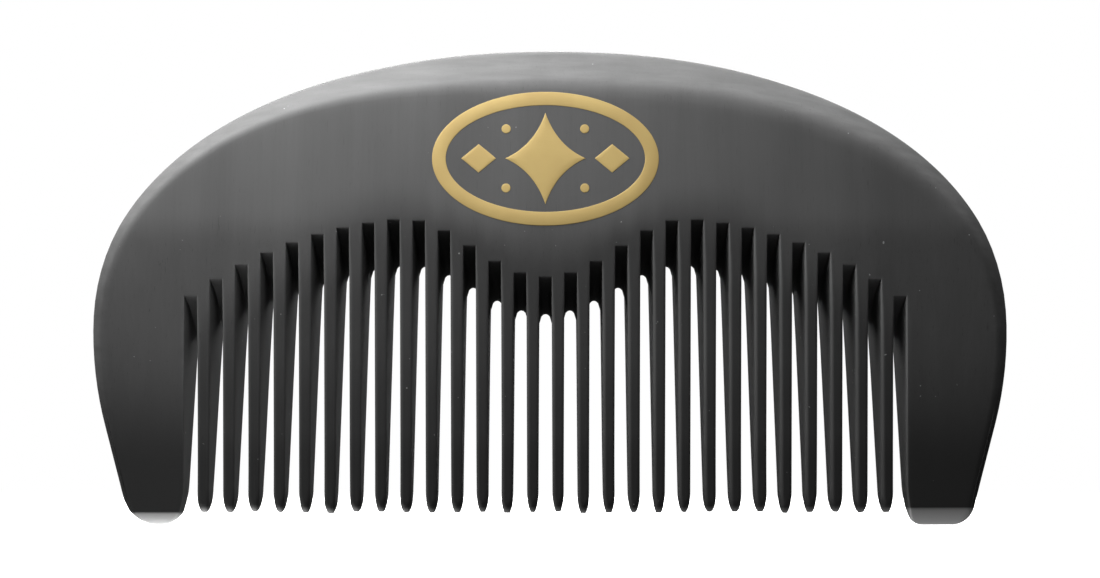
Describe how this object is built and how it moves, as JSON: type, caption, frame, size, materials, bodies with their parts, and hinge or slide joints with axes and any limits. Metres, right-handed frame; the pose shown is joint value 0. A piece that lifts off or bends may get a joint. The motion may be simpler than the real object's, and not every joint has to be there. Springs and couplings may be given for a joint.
{
  "type": "beard comb",
  "caption": "Pocket beard comb: half-moon wooden body with a bevelled crown, wedge-ground teeth between two end guards, and an inlaid oval ornament.",
  "frame": {"origin": "middle of the comb's box on the ground that the two guard ends stand on", "axes": "+X along the tooth row, +Y from the front face to the plain back face, +Z from the guard ends to the crown"},
  "size_m": [0.1, 0.01, 0.0527],
  "materials": {
    "stained_wood": "satin black stain",
    "gold_inlay": "satin gold"
  },
  "bodies": {
    "root": {"spine": "stained_wood", "guard_left": "stained_wood", "guard_right": "stained_wood", "tooth_01": "stained_wood", "tooth_02": "stained_wood", "tooth_03": "stained_wood", "tooth_04": "stained_wood", "tooth_05": "stained_wood", "tooth_06": "stained_wood", "tooth_07": "stained_wood", "tooth_08": "stained_wood", "tooth_09": "stained_wood", "tooth_10": "stained_wood", "tooth_11": "stained_wood", "tooth_12": "stained_wood", "tooth_13": "stained_wood", "tooth_14": "stained_wood", "tooth_15": "stained_wood", "tooth_16": "stained_wood", "tooth_17": "stained_wood", "tooth_18": "stained_wood", "tooth_19": "stained_wood", "tooth_20": "stained_wood", "tooth_21": "stained_wood", "tooth_22": "stained_wood", "tooth_23": "stained_wood", "tooth_24": "stained_wood", "tooth_25": "stained_wood", "tooth_26": "stained_wood", "tooth_27": "stained_wood", "tooth_28": "stained_wood", "ornament": "gold_inlay"}
  },
  "joints": []
}
